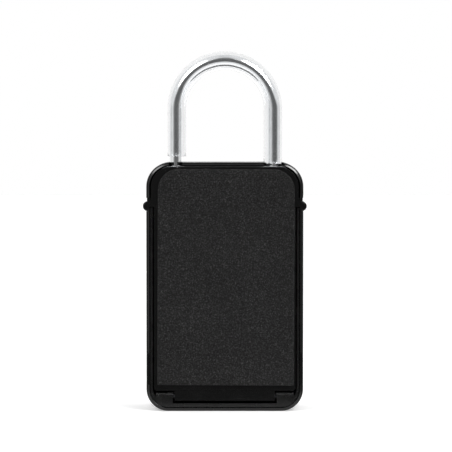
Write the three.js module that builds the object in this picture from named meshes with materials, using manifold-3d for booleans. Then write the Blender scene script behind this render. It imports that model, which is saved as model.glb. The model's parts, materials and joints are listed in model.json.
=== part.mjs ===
// Portable key box with a padded back, a lift-off shackle and four number dials.
// Millimetres. X is the width, Z is up, and the padded back looks towards -Y.
// The origin is under the middle of the box, on the surface that it stands on.

import * as THREE from 'three';
import { mergeVertices } from 'three/addons/utils/BufferGeometryUtils.js';
import Module from 'manifold-3d';

const wasm = await Module();
wasm.setup();

// ---------------------------------------------------------------- driving sizes

// outer shell
const caseWidth = 78.4;
const caseHeight = 124.5;
const caseDepth = 35.1;
const topRadius = 12.2;
const bottomRadius = 11.1;
const frontRound = 3;
const wall = 1.7;
const frontWall = 2.4;
const bossRadius = 3.6;

// door, pad and hinge
const doorThickness = 2.4;
const doorProud = 0.4;
const padThickness = 2.5;
const padBorder = 1.2;
const padShift = 0.6;
const padTilt = 0.25;
const padCornerRadius = 10.5;
const sillHeight = 2.85;
const shoulderDrop = 22.2;
const nubRadius = 2.15;
const nubLength = 5;
const hingeBarrel = 2.5;
const hingePinRadius = 1.4;
const tongueWidth = 50;
const tongueGap = 1.25;
const hingeBlockWidth = 9.8;

// key tray
const trayWall = 1.2;
const shelfDrop = 26.8;

// shackle
const rodRadius = 3;
const legInset = 14.5;
const legDepth = 26.1;
const clearAbove = 26.1;
const rodSetback = 5.6;
const blockWall = 3.4;
const sleeveRadius = 4.6;
const sleeveStartLeft = 2.9;
const sleeveStartRight = -0.9;
const neckRadius = 2.1;
const headHeight = 2.3;

// lock bar
const barThickness = 1.5;
const barTravel = 5;
const wireRadius = 0.3;

// dials
const dialCount = 4;
const dialRadius = 10;
const dialWidth = 7;
const dialSpacing = 0.9;
const dialProud = 2;
const dialDrop = 50.5;
const cageWall = 1.2;
const cagePlate = 0.8;
const ringWidth = 2.8;
const spindleRadius = 2;
const spindleNeck = 1.2;

// release slider and latch
const releaseTravel = 4.5;
const buttonDrop = 78.5;
const resetTravel = 1.5;
const plateThickness = 1.2;
const armThickness = 1.4;
const catchDrop = 31.5;

// gaps
const seam = 0.3;
const running = 0.3;
const doorGap = 0.7;
const boreGap = 0.3;
const screwGap = 0.3;
const pinGap = 0.25;

// fasteners
const screwRadius = 1.4;
const guideRadius = 1;

// ---------------------------------------------------------------- places

const depthTotal = padThickness + doorProud + caseDepth + dialProud;
const padBack = -depthTotal / 2;
const doorBack = padBack + padThickness;
const doorInner = doorBack + doorThickness;
const rimBack = doorBack + doorProud;
const trayBack = rimBack + 0.4;
const caseFront = rimBack + caseDepth;
const chamberFront = caseFront - frontWall;

const dialY = caseFront + dialProud - dialRadius;
const dialZ = caseHeight - dialDrop;
const dialPitch = dialWidth + running + ringWidth + dialSpacing;
const firstDialX = -dialPitch * (dialCount - 1) / 2;
const ringRadius = chamberFront - dialY - running;
const ringOffset = dialWidth / 2 + running + ringWidth / 2;
const cageFront = dialY - dialRadius - running;
const cageBack = cageFront - cagePlate;
const trayFloorFront = cageBack - seam;
const trayFloorBack = trayFloorFront - trayWall;

const halfWidth = caseWidth / 2;
const shellInner = halfWidth - wall;
const trayOuter = shellInner - seam;
const trayInner = trayOuter - trayWall;
const doorHalf = trayInner - doorGap;
const shoulderHalf = shellInner - doorGap;
const trayBottom = wall + seam;
const barTop = trayBottom + trayWall + 0.65;
const hingeY = doorBack + hingeBarrel;
const hingeZ = barTop + tongueGap + hingeBarrel;
const doorBottom = hingeZ + hingeBarrel + 0.25;
const doorTop = caseHeight - wall - doorGap;
const shoulderZ = caseHeight - shoulderDrop;
const railTop = shoulderZ - 0.5;
const tongueHalf = tongueWidth / 2;
const blockInner = tongueHalf + 1;
const blockOuter = Math.min(blockInner + hingeBlockWidth, trayOuter - bottomRadius / 4);

const rodY = doorInner + rodSetback;
const legX = halfWidth - legInset;
const legBottom = caseHeight - legDepth;
const archZ = caseHeight + clearAbove;
const notchGap = 0.4;
const barZ = legBottom + headHeight + running;
const blockBottom = barZ + barThickness + running;
const blockTop = caseHeight - wall - seam;
const blockRear = doorInner + 0.6;
const blockFront = rodY + rodRadius + boreGap + blockWall;
const upperFloorBack = blockFront + seam;
const upperFloorFront = upperFloorBack + trayWall;
const blockHalf = legX + rodRadius + 3.5;
const shelfZ = caseHeight - shelfDrop;

const leverThickness = 1.2;
const leverRight = firstDialX - dialWidth / 2 - 2 * running - resetTravel;
const leverLeft = leverRight - leverThickness;
const cageHalf = -leverLeft + 2 * running + cageWall;
const earRadius = ringRadius - 0.8;

const plateBack = trayFloorFront + 1.7;
const plateFront = plateBack + plateThickness;
const limbInner = cageHalf + 2 * running;
const limbOuter = Math.max(limbInner + 2.6, trayInner - 0.7);
const armX = trayInner - 2.4;
const strikeX = armX - 4.5;
const catchZ = caseHeight - catchDrop;
const armTop = catchZ - 3;
const armBottom = armTop - 6;
const plateTop = dialZ + dialRadius + releaseTravel + 3.5;
const windowTop = plateTop - 4;
const buttonZ = caseHeight - buttonDrop;
const plateBottom = buttonZ - 6;
const windowBottom = dialZ - 16;
const stemHalf = 4;
const stemHeight = 7;
const screwX = 12;
const blockScrewZ = caseHeight - 12.5;
const frameScrewX = trayInner - 6;
const frameScrewZ = hingeZ + 14;
const keyholeRadius = rodRadius + 0.4;
const guideX = [legX - barTravel - keyholeRadius - 2.4, -legX + neckRadius + barTravel + 2.6];
const guideY = rodY + rodRadius + 1.5;
const springY = rodY - 0.8;
const springHalf = 8.2;
const springSeatZ = plateBottom - 16;

// ---------------------------------------------------------------- solids

function solid(geometry) {
  const bare = geometry.clone();
  bare.deleteAttribute('normal');
  bare.deleteAttribute('uv');
  const merged = mergeVertices(bare, 1e-4);
  const mesh = new wasm.Mesh({
    numProp: 3,
    vertProperties: Float32Array.from(merged.attributes.position.array),
    triVerts: Uint32Array.from(merged.index.array),
  });
  return new wasm.Manifold(mesh);
}

function geometryOf(body) {
  const mesh = body.getMesh();
  const geometry = new THREE.BufferGeometry();
  geometry.setAttribute('position', new THREE.BufferAttribute(mesh.vertProperties, 3));
  geometry.setIndex(new THREE.BufferAttribute(mesh.triVerts, 1));
  geometry.computeVertexNormals();
  return geometry;
}

function join(...bodies) {
  return bodies.reduce((whole, next) => whole.add(next));
}

function cut(body, ...tools) {
  return tools.reduce((whole, next) => whole.subtract(next), body);
}

function block(x, y, z) {
  const geometry = new THREE.BoxGeometry(x[1] - x[0], y[1] - y[0], z[1] - z[0]);
  geometry.translate((x[0] + x[1]) / 2, (y[0] + y[1]) / 2, (z[0] + z[1]) / 2);
  return solid(geometry);
}

function rodAlongX(radius, x, y, z, sides = 24) {
  const geometry = new THREE.CylinderGeometry(radius, radius, x[1] - x[0], sides);
  geometry.rotateZ(Math.PI / 2);
  geometry.translate((x[0] + x[1]) / 2, y, z);
  return solid(geometry);
}

function rodAlongY(radius, x, y, z, sides = 24) {
  const geometry = new THREE.CylinderGeometry(radius, radius, y[1] - y[0], sides);
  geometry.translate(x, (y[0] + y[1]) / 2, z);
  return solid(geometry);
}

function rodAlongZ(radius, x, y, z, sides = 24) {
  const geometry = new THREE.CylinderGeometry(radius, radius, z[1] - z[0], sides);
  geometry.rotateX(Math.PI / 2);
  geometry.translate(x, y, (z[0] + z[1]) / 2);
  return solid(geometry);
}

// A prism of an X-Z outline, from the depth y[0] to y[1].
function prism(shape, y, segments = 8) {
  const depth = y[1] - y[0];
  const geometry = new THREE.ExtrudeGeometry(shape, { depth, bevelEnabled: false, curveSegments: segments });
  geometry.rotateX(Math.PI / 2);
  geometry.translate(0, y[1], 0);
  return solid(geometry);
}

// A rectangle in X and Z whose upper and lower corners have their own radius.
function outline(half, bottom, top, upperRadius, lowerRadius) {
  const shape = new THREE.Shape();
  shape.moveTo(-half + lowerRadius, bottom);
  shape.lineTo(half - lowerRadius, bottom);
  shape.absarc(half - lowerRadius, bottom + lowerRadius, lowerRadius, -Math.PI / 2, 0, false);
  shape.lineTo(half, top - upperRadius);
  shape.absarc(half - upperRadius, top - upperRadius, upperRadius, 0, Math.PI / 2, false);
  shape.lineTo(-half + upperRadius, top);
  shape.absarc(-half + upperRadius, top - upperRadius, upperRadius, Math.PI / 2, Math.PI, false);
  shape.lineTo(-half, bottom + lowerRadius);
  shape.absarc(-half + lowerRadius, bottom + lowerRadius, lowerRadius, Math.PI, 1.5 * Math.PI, false);
  return shape;
}

function finish(colour, roughness, metalness) {
  return new THREE.MeshStandardMaterial({ color: colour, roughness, metalness });
}

const satinBlack = () => finish(0x151515, 0.45, 0);
const innerBlack = () => finish(0x1b1b1b, 0.55, 0);
const foamBlack = () => finish(0x262626, 0.95, 0);
const chrome = () => finish(0xd5d7d9, 0.12, 1);
const clearVinyl = () => finish(0xf0f2f2, 0.1, 0);
const zinc = () => finish(0x9a9ca0, 0.4, 1);
const steel = () => finish(0xb0b2b5, 0.3, 1);
const brass = () => finish(0xb59a55, 0.35, 1);
const dialBlack = () => finish(0x101010, 0.4, 0);

const padlock = new THREE.Group();
padlock.name = 'padlock';

function piece(name, geometry, material, place = [0, 0, 0]) {
  const mesh = new THREE.Mesh(geometry, material);
  mesh.name = name;
  mesh.position.set(...place);
  padlock.add(mesh);
  return mesh;
}

// ---------------------------------------------------------------- case

function shellBody() {
  const depth = caseDepth - frontRound + 10;
  const shape = outline(halfWidth - frontRound, frontRound, caseHeight - frontRound,
    topRadius - frontRound, bottomRadius - frontRound);
  const bevel = { bevelThickness: frontRound, bevelSize: frontRound, bevelSegments: 3 };
  const geometry = new THREE.ExtrudeGeometry(shape, { depth, curveSegments: 9, ...bevel });
  geometry.rotateX(Math.PI / 2);
  geometry.translate(0, caseFront - frontRound, 0);
  const behind = block([-halfWidth - 1, halfWidth + 1], [rimBack - 30, rimBack], [-1, caseHeight + 1]);
  return solid(geometry).subtract(behind);
}

function shellCavity() {
  const shape = outline(shellInner, wall, caseHeight - wall, topRadius - wall, bottomRadius - wall);
  return prism(shape, [rimBack - 1, chamberFront], 9);
}

// The right leg's sleeve reaches into its notch; on the left only the rod does.
function legNotch(side) {
  const x = side * legX;
  const notchHalf = (side > 0 ? sleeveRadius : rodRadius) + notchGap;
  const y = [rimBack - 1, rodY];
  const z = [caseHeight - wall - 1, caseHeight + 1];
  return join(block([x - notchHalf, x + notchHalf], y, z), rodAlongZ(notchHalf, x, rodY, z, 20));
}

function nubNotch(side) {
  const x = side > 0 ? [shellInner - 0.5, halfWidth + 1] : [-halfWidth - 1, -shellInner + 0.5];
  const depth = doorBack + nubLength + 0.6;
  return block(x, [rimBack - 1, depth], [shoulderZ - 2.4, shoulderZ + 4.5]);
}

function dialWindow(index) {
  const x = firstDialX + index * dialPitch;
  const setback = dialY - chamberFront;
  const halfHeight = Math.sqrt(dialRadius ** 2 - setback ** 2) + 0.6;
  const half = dialWidth / 2 + 0.4;
  return block([x - half, x + half], [chamberFront - 1, caseFront + 1], [dialZ - halfHeight, dialZ + halfHeight]);
}

function boss([x, z, floor]) {
  return rodAlongY(bossRadius, x, [floor + seam, chamberFront + 0.5], z, 16);
}

function bossHole([x, z, floor]) {
  return rodAlongY(screwRadius + screwGap, x, [floor, chamberFront - 1], z, 12);
}

function outerShell() {
  const dialPanel = outline(cageHalf + 3, dialZ - 13, dialZ + 13, 4, 4);
  const slot = [buttonZ - stemHeight / 2 - releaseTravel - 0.4, buttonZ + stemHeight / 2 + 0.4];
  const seat = block([-5, 5], [plateFront + 1, chamberFront + 0.5], [springSeatZ - 1.5, springSeatZ]);
  const places = [1, -1].flatMap((side) => [
    [side * screwX, blockScrewZ, upperFloorFront],
    [side * frameScrewX, frameScrewZ, trayFloorFront]]);
  const hollow = cut(shellBody(), shellCavity());
  const filled = join(hollow, seat, ...places.map(boss));
  const windows = Array.from({ length: dialCount }, (_, index) => dialWindow(index));
  return cut(filled, legNotch(1), legNotch(-1), nubNotch(1), nubNotch(-1), ...windows,
    prism(dialPanel, [caseFront - 0.8, caseFront + 1], 4),
    block([-stemHalf - 0.4, stemHalf + 0.4], [chamberFront - 1, caseFront + 1], slot),
    ...places.map(bossHole));
}

// The outline that everything inside the shell keeps to.
function liningOutline() {
  const inset = wall + seam;
  return outline(trayOuter, trayBottom, caseHeight - inset, topRadius - inset, bottomRadius - inset);
}

function hingeBlock(side) {
  const x = side > 0 ? [blockInner, blockOuter] : [-blockOuter, -blockInner];
  const round = hingeBarrel - 0.15;
  const body = block(x, [hingeY - round, hingeY + 3], [trayBottom + 0.5, hingeZ]);
  const crown = join(rodAlongX(round, x, hingeY, hingeZ, 32),
    block(x, [hingeY, hingeY + 3], [hingeZ, hingeZ + round]));
  return join(body, crown).intersect(prism(liningOutline(), [rimBack - 2, trayFloorBack], 9));
}

function traySlot(side) {
  const x = [armX - running - 0.1, armX + armThickness + running + 0.1].map((v) => v * side).sort((a, b) => a - b);
  const z = [armBottom - releaseTravel - 0.5, armTop + 0.5];
  return block(x, [trayFloorBack - 1, trayFloorFront + 1], z);
}

function innerFrame() {
  const lower = bottomRadius - wall - seam;
  const full = liningOutline();
  const belowShelf = block([-halfWidth, halfWidth], [-caseDepth, caseDepth], [0, shelfZ - trayWall / 2]);
  const floor = prism(full, [trayFloorBack, trayFloorFront], 9).intersect(belowShelf);
  const upperFloor = prism(full, [upperFloorBack, upperFloorFront], 9).subtract(belowShelf);
  const walls = prism(full, [trayBack, trayFloorBack + 0.1], 9);
  const inner = outline(trayInner, barTop, caseHeight + 30, 0.5, lower - trayWall);
  const aboveRails = block([-halfWidth, halfWidth], [trayBack - 1, trayFloorBack + 1], [railTop, caseHeight + 1]);
  const sides = cut(walls, prism(inner, [trayBack - 1, trayFloorBack + 0.2], 9), aboveRails);
  const shelfFront = Math.max(upperFloorFront, trayFloorFront);
  const shelf = block([-trayInner - 0.2, trayInner + 0.2], [doorInner + 0.5, shelfFront], [shelfZ - trayWall, shelfZ]);
  const tabGap = block([-6.6, 6.6 + barTravel], [doorInner, blockRear + 2.6], [shelfZ - 3, shelfZ + 1]);
  const upperHoles = [1, -1].map((side) => rodAlongY(screwRadius + screwGap, side * screwX,
    [upperFloorBack - 1, upperFloorFront + 1], blockScrewZ, 12));
  const lowerHoles = [1, -1].map((side) => rodAlongY(screwRadius + screwGap, side * frameScrewX,
    [trayFloorBack - 1, trayFloorFront + 1], frameScrewZ, 12));
  const pinHole = rodAlongX(hingePinRadius + pinGap, [-trayInner, trayInner], hingeY, hingeZ, 12);
  return cut(join(floor, upperFloor, sides, shelf, hingeBlock(1), hingeBlock(-1)),
    traySlot(1), traySlot(-1), tabGap, leverSlot(), pinHole, ...upperHoles, ...lowerHoles);
}

// The slot that the reset lever comes through, in the tray floor and in the cage's back.
function leverSlot() {
  const x = [leverLeft - running, leverRight + resetTravel + running];
  return block(x, [trayFloorBack - 1, cageFront + 1], [dialZ - 3.4, dialZ + 3.4]);
}

function shackleBlock() {
  const bar = block([-blockHalf, blockHalf], [blockRear, blockFront], [blockBottom, blockTop]);
  const body = bar.intersect(prism(liningOutline(), [blockRear - 1, blockFront + 1], 9));
  const post = block([6, 7.6], [springY - 1.8, springY + 1.8], [barZ - 0.4, blockBottom + 0.5]);
  const bores = [legX, -legX].map((x) => rodAlongZ(rodRadius + boreGap, x, rodY, [blockBottom - 1, blockTop + 1], 20));
  const groove = block([-springHalf - 0.2, 6.2], [springY - 2.2, springY + 2.2], [blockBottom - 1, blockBottom + 1]);
  const screws = [screwX, -screwX].flatMap((x) => [
    rodAlongY(screwRadius + screwGap, x, [blockRear - 1, blockFront + 1], blockScrewZ, 12),
    rodAlongY(3.4, x, [blockRear - 1, blockRear + 2.6], blockScrewZ, 16)]);
  const guides = guideX.map((x) => rodAlongZ(guideRadius + screwGap, x, guideY, [blockBottom - 1, blockBottom + 6.5], 12));
  return join(cut(body, groove, ...bores, ...screws, ...guides), post);
}

function screw(radius, length, headRadius, headHeight) {
  const points = [[0, 0], [headRadius, 0], [headRadius, headHeight * 0.6], [headRadius * 0.8, headHeight],
    [radius, headHeight], [radius, headHeight + length - 0.6], [radius * 0.5, headHeight + length],
    [0, headHeight + length]];
  const profile = points.map(([x, y]) => new THREE.Vector2(x, y));
  return new THREE.LatheGeometry(profile, 8);
}

function hingePin() {
  return rodAlongX(hingePinRadius, [-blockOuter + 0.4, blockOuter - 0.4], hingeY, hingeZ, 16);
}

function dialCage() {
  const back = block([-cageHalf, cageHalf], [cageBack, cageFront], [dialZ - dialRadius - 1.4, dialZ + 8]);
  const ears = [1, -1].map((side) => {
    const x = [side * cageHalf, side * (cageHalf - cageWall)].sort((a, b) => a - b);
    return join(block(x, [cageBack, dialY], [dialZ - earRadius, dialZ + earRadius]),
      rodAlongX(earRadius, x, dialY, dialZ, 20));
  });
  const hole = rodAlongX(spindleRadius + pinGap, [-cageHalf - 1, cageHalf + 1], dialY, dialZ, 20);
  return cut(join(back, ...ears), hole, leverSlot());
}

function detentSpring() {
  const z = [dialZ - dialRadius - 0.9, dialZ - dialRadius - 0.5];
  const strip = block([-cageHalf + 1.6, cageHalf - 1.6], [cageFront + seam, cageFront + 3.2], z);
  const fingers = Array.from({ length: dialCount }, (_, index) => {
    const x = firstDialX + index * dialPitch;
    return join(block([x - 1.6, x + 1.6], [cageFront + 3, dialY + 1.4], z),
      block([x - 1.2, x + 1.2], [dialY - 0.5, dialY + 0.5], [z[0], z[1] + 0.2]));
  });
  return join(strip, ...fingers);
}

// ---------------------------------------------------------------- door

function doorOutline() {
  const radius = topRadius - wall - doorGap;
  const lower = 1.5;
  const shape = new THREE.Shape();
  shape.moveTo(-doorHalf + lower, doorBottom);
  shape.lineTo(doorHalf - lower, doorBottom);
  shape.absarc(doorHalf - lower, doorBottom + lower, lower, -Math.PI / 2, 0, false);
  shape.lineTo(doorHalf, shoulderZ);
  shape.lineTo(shoulderHalf, shoulderZ);
  shape.absarc(shoulderHalf - radius, doorTop - radius, radius, 0, Math.PI / 2, false);
  shape.absarc(-shoulderHalf + radius, doorTop - radius, radius, Math.PI / 2, Math.PI, false);
  shape.lineTo(-shoulderHalf, shoulderZ);
  shape.lineTo(-doorHalf, shoulderZ);
  shape.absarc(-doorHalf + lower, doorBottom + lower, lower, Math.PI, 1.5 * Math.PI, false);
  return shape;
}

function nub(side) {
  const x = side * (halfWidth - 0.35);
  const neck = [side * (shoulderHalf - 1), side * (halfWidth - 1)].sort((a, b) => a - b);
  const behindRail = block([-trayOuter - seam, trayOuter + seam], [doorBack - 1, doorBack + nubLength + 1],
    [shoulderZ - 2 * nubRadius, shoulderZ]);
  const knob = rodAlongY(nubRadius, x, [doorBack, doorBack + nubLength], shoulderZ + 0.3, 20);
  return join(cut(knob, behindRail), block(neck, [doorBack, doorInner], [shoulderZ, shoulderZ + 4]));
}

function backDoor() {
  const panel = prism(doorOutline(), [doorBack, doorInner], 9);
  const tongue = block([-tongueHalf, tongueHalf], [doorBack, hingeY + hingeBarrel - 0.2],
    [hingeZ - hingeBarrel + 0.25, doorBottom + 0.4]);
  const pinHole = rodAlongX(hingePinRadius + pinGap, [-tongueHalf - 1, tongueHalf + 1], hingeY, hingeZ, 12);
  const rivets = [1, -1].map((side) => rodAlongY(1.6, side * strikeX, [doorBack - 1, doorInner + 1], catchZ - 2.5, 12));
  return cut(join(panel, tongue, nub(1), nub(-1)), pinHole, ...rivets);
}

function foamPad() {
  const half = doorHalf - padBorder;
  const shape = outline(half, doorBottom + sillHeight, doorTop - 1, padCornerRadius, 0.4);
  const geometry = geometryOf(prism(shape, [padBack, doorBack - seam], 8));
  const middle = (doorBottom + sillHeight + doorTop - 1) / 2;
  geometry.translate(0, 0, -middle);
  geometry.rotateY(THREE.MathUtils.degToRad(padTilt));
  geometry.translate(padShift, 0, middle);
  return geometry;
}


// A bent strip on the door's inner face: a flange reaches in, and its lip hangs in front of the latch tooth.
function strike(side) {
  const wide = [armX - 1.2, armX + armThickness + 0.2].map((x) => x * side).sort((a, b) => a - b);
  const full = [strikeX - 3.2, armX + armThickness + 0.2].map((x) => x * side).sort((a, b) => a - b);
  const face = [doorInner + seam, doorInner + seam + plateThickness];
  const lip = [doorInner + 3.2, doorInner + 4.6];
  const pad = block(full, face, [catchZ - 5.4, catchZ + 1.8]);
  const relief = block(wide, [face[0] - 1, face[1] + 1], [catchZ - 6, catchZ + 0.4]);
  const flange = block(wide, [face[0], lip[1]], [catchZ + 0.4, catchZ + 1.8]);
  const hook = block(wide, lip, [catchZ - 2.6, catchZ + 0.8]);
  const hole = rodAlongY(1.6, side * strikeX, [face[0] - 1, face[1] + 1], catchZ - 2.5, 12);
  return cut(join(cut(pad, relief), flange, hook), hole);
}

// ---------------------------------------------------------------- shackle

// Up the left leg, over the arch and down the right one, from each leg's own height.
class ArchPath extends THREE.Curve {
  constructor(leftStart, rightEnd) {
    super();
    this.left = archZ - leftStart;
    this.right = archZ - rightEnd;
    this.arc = Math.PI * legX;
  }

  getPoint(t, target = new THREE.Vector3()) {
    const s = t * (this.left + this.arc + this.right);
    if (s < this.left) {
      return target.set(-legX, rodY, archZ - this.left + s);
    }
    if (s > this.left + this.arc) {
      return target.set(legX, rodY, archZ - (s - this.left - this.arc));
    }
    const angle = Math.PI - (s - this.left) / legX;
    return target.set(legX * Math.cos(angle), rodY, archZ + legX * Math.sin(angle));
  }
}

function swept(path, shape, steps) {
  return new THREE.ExtrudeGeometry(shape, { extrudePath: path, steps, curveSegments: 7, bevelEnabled: false });
}

function ring(radius, hole) {
  const shape = new THREE.Shape();
  shape.absarc(0, 0, radius, 0, 2 * Math.PI, false);
  if (hole) {
    const inside = new THREE.Path();
    inside.absarc(0, 0, hole, 0, 2 * Math.PI, true);
    shape.holes.push(inside);
  }
  return shape;
}

function shackleRod() {
  const rod = solid(swept(new ArchPath(legBottom, legBottom), ring(rodRadius), 46));
  const collars = [legX, -legX].map((x) => {
    const z = [legBottom + headHeight, blockBottom];
    return cut(rodAlongZ(rodRadius + 1, x, rodY, z, 16), rodAlongZ(neckRadius, x, rodY, [z[0] - 1, z[1] + 1], 16));
  });
  return cut(rod, ...collars);
}

function vinylSleeve() {
  const path = new ArchPath(caseHeight + sleeveStartLeft, caseHeight + sleeveStartRight);
  return swept(path, ring(sleeveRadius, rodRadius + 0.25), 28);
}

// ---------------------------------------------------------------- lock bar

function lockBar() {
  const z = [barZ, barZ + barThickness];
  const through = [z[0] - 1, z[1] + 1];
  const front = guideY + guideRadius + running + 0.8;
  const rear = blockRear + 0.3;
  const left = -legX - barTravel - rodRadius - 2;
  const strip = block([left, legX + 4.4], [rear, front], z);
  const tab = block([-6, 6], [rear, rear + 1.5], [shelfZ - 7.5, z[1]]);
  const window = block([-springHalf, springHalf], [springY - 2.2, springY + 2.2], through);
  const slotRadius = neckRadius + running;
  const keyholes = [legX, -legX].flatMap((x) => [
    rodAlongZ(keyholeRadius, x - barTravel, rodY, through, 20),
    block([x - barTravel, x + running], [rodY - slotRadius, rodY + slotRadius], through),
    rodAlongZ(slotRadius, x + running, rodY, through, 20)]);
  const guide = guideRadius + running;
  const slots = guideX.flatMap((x) => [
    block([x - barTravel, x], [guideY - guide, guideY + guide], through),
    rodAlongZ(guide, x, guideY, through, 12),
    rodAlongZ(guide, x - barTravel, guideY, through, 12)]);
  return cut(join(strip, tab), window, ...keyholes, ...slots);
}

class Coil extends THREE.Curve {
  constructor(radius, length, turns) {
    super();
    Object.assign(this, { radius, length, turns });
  }

  getPoint(t, target = new THREE.Vector3()) {
    const angle = 2 * Math.PI * this.turns * t;
    return target.set(this.radius * Math.cos(angle), this.radius * Math.sin(angle), this.length * t);
  }
}

function coilSpring(radius, length, turns) {
  const wire = new THREE.Shape();
  wire.absarc(0, 0, wireRadius, 0, 2 * Math.PI, false);
  const path = new Coil(radius, length, turns);
  return new THREE.ExtrudeGeometry(wire, { extrudePath: path, steps: turns * 9, curveSegments: 3, bevelEnabled: false });
}

// ---------------------------------------------------------------- dials

function dial() {
  const shape = new THREE.Shape();
  const step = Math.PI / 5;
  for (let digit = 0; digit < 10; digit += 1) {
    const angle = digit * step + Math.PI / 2;
    const ridge = [angle - 0.34 * step, angle + 0.34 * step].map((a) => [dialRadius * Math.cos(a), dialRadius * Math.sin(a)]);
    const valley = [(dialRadius - 0.6) * Math.cos(angle + 0.5 * step), (dialRadius - 0.6) * Math.sin(angle + 0.5 * step)];
    if (digit === 0) {
      shape.moveTo(...ridge[0]);
    } else {
      shape.lineTo(...ridge[0]);
    }
    shape.lineTo(dialRadius * Math.cos(angle), dialRadius * Math.sin(angle));
    shape.lineTo(...ridge[1]);
    shape.lineTo(...valley);
  }
  const hole = new THREE.Path();
  hole.absarc(0, 0, spindleRadius + running, 0, 2 * Math.PI, true);
  shape.holes.push(hole);
  const geometry = new THREE.ExtrudeGeometry(shape, { depth: dialWidth, bevelEnabled: false, curveSegments: 16 });
  geometry.translate(0, 0, -dialWidth / 2);
  geometry.rotateY(Math.PI / 2);
  return geometry;
}

function codeRing() {
  const disc = rodAlongX(ringRadius, [-ringWidth / 2, ringWidth / 2], 0, 0, 30);
  const bore = rodAlongX(spindleRadius + running, [-ringWidth, ringWidth], 0, 0, 16);
  const gate = block([-ringWidth, ringWidth], [-1.9, 1.9], [ringRadius - 2.2, ringRadius + 1]);
  return cut(disc, bore, gate);
}

function dialSpindle() {
  const neck = [leverLeft - running, leverRight + running];
  return join(rodAlongX(spindleRadius, [-cageHalf - 1, neck[0]], 0, 0, 20),
    rodAlongX(spindleNeck, [neck[0] - 0.5, neck[1] + 0.5], 0, 0, 16),
    rodAlongX(spindleRadius, [neck[1], cageHalf + 1], 0, 0, 20));
}

// A forked plate that straddles the spindle's neck and comes through the tray floor to a finger tab.
function resetLever() {
  const x = [leverLeft, leverRight];
  const forkHalf = spindleNeck + running;
  const plate = block(x, [trayFloorBack - 3.4, dialY + 3], [dialZ - 3, dialZ + 3]);
  const fork = block([x[0] - 1, x[1] + 1], [dialY - forkHalf, dialY + 4], [dialZ - forkHalf, dialZ + forkHalf]);
  const tab = block([x[0] - 1, x[1] + 1], [trayFloorBack - 4.6, trayFloorBack - 3.2], [dialZ - 3, dialZ + 3]);
  return join(cut(plate, fork), tab);
}

// ---------------------------------------------------------------- release

function latchArm(side) {
  const x = [armX, armX + armThickness].map((v) => v * side).sort((a, b) => a - b);
  const tooth = [armX - 1, armX + armThickness].map((v) => v * side).sort((a, b) => a - b);
  const rear = doorInner + 1.4;
  return join(block(x, [rear, plateFront], [armBottom, armTop]),
    block(tooth, [rear, rear + 1.4], [armBottom + 1, catchZ]));
}

function latchPlate() {
  const y = [plateBack, plateFront];
  const frame = cut(block([-limbOuter, limbOuter], y, [windowBottom - 5, plateTop]),
    block([-limbInner, limbInner], [y[0] - 1, y[1] + 1], [windowBottom, windowTop]));
  const tongue = block([-9, 9], y, [plateBottom, windowBottom - 4.5]);
  const seat = block([-4, 4], [plateBack, plateFront + 6], [plateBottom, plateBottom + 1.2]);
  const hole = rodAlongY(screwRadius + screwGap, 0, [y[0] - 1, y[1] + 1], buttonZ, 12);
  return cut(join(frame, tongue, seat, latchArm(1), latchArm(-1)), hole);
}

function fenceBar() {
  const y = [plateFront + seam, dialY + 2];
  const z = [windowTop + 1.4, windowTop + 2.8];
  const foot = block([-limbInner + 1, limbInner - 1], [y[0], y[0] + 1.2], [windowTop + 0.4, plateTop - 0.4]);
  const comb = block([firstDialX, cageHalf - 1], [y[0], y[1]], z);
  const tip = dialZ + ringRadius + 0.4 + releaseTravel;
  const fingers = Array.from({ length: dialCount }, (_, index) => {
    const x = firstDialX + index * dialPitch + ringOffset;
    return block([x - 1, x + 1], [dialY - 1.5, y[1]], [tip, z[1]]);
  });
  return join(foot, comb, ...fingers);
}

function releaseButton() {
  const shape = outline(11, buttonZ - 8, buttonZ + 8, 3, 3);
  const thumb = prism(shape, [caseFront + running, caseFront + dialProud - 0.3], 5);
  const ribs = [-4, 0, 4].map((rise) => rodAlongX(0.55, [-7, 7], caseFront + dialProud - 0.55, buttonZ + rise, 12));
  const stem = block([-stemHalf, stemHalf], [plateFront + seam, caseFront + 0.6],
    [buttonZ - stemHeight / 2, buttonZ + stemHeight / 2]);
  const hole = rodAlongY(screwRadius + screwGap, 0, [plateFront, plateFront + 9], buttonZ, 12);
  return cut(join(thumb, stem, ...ribs), hole);
}

// ---------------------------------------------------------------- assembly

function addCase() {
  piece('outer_shell', geometryOf(outerShell()), satinBlack());
  piece('inner_frame', geometryOf(innerFrame()), innerBlack());
  piece('shackle_block', geometryOf(shackleBlock()), zinc());
  piece('hinge_pin', geometryOf(hingePin()), steel());
  piece('dial_cage', geometryOf(dialCage()), steel());
  piece('detent_spring', geometryOf(detentSpring()), steel());
  [1, -1].forEach((side, index) => {
    const long = piece(`block_screw_${index + 1}`, screw(screwRadius, 20, 3, 1.8), steel());
    long.position.set(side * screwX, blockRear + 0.5, blockScrewZ);
    const short = piece(`frame_screw_${index + 1}`, screw(screwRadius, 8, 2.8, 1.4), steel());
    short.position.set(side * frameScrewX, trayFloorBack - 1.7, frameScrewZ);
    const guide = piece(`guide_screw_${index + 1}`, screw(guideRadius, 8, 1.9, 0.9), steel());
    guide.rotation.x = Math.PI / 2;
    guide.position.set(guideX[index], guideY, barZ - 1.2);
  });
}

function addDoor() {
  piece('back_door', geometryOf(backDoor()), satinBlack());
  piece('foam_pad', foamPad(), foamBlack());
  [[1, 'right'], [-1, 'left']].forEach(([side, name]) => {
    piece(`strike_${name}`, geometryOf(strike(side)), steel());
    const rivet = piece(`strike_rivet_${name}`, screw(1.3, doorThickness + 0.9, 2.4, 0.8), steel());
    rivet.rotation.x = Math.PI;
    rivet.position.set(side * strikeX, doorInner + seam + plateThickness + 1.1, catchZ - 2.5);
  });
}

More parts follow.
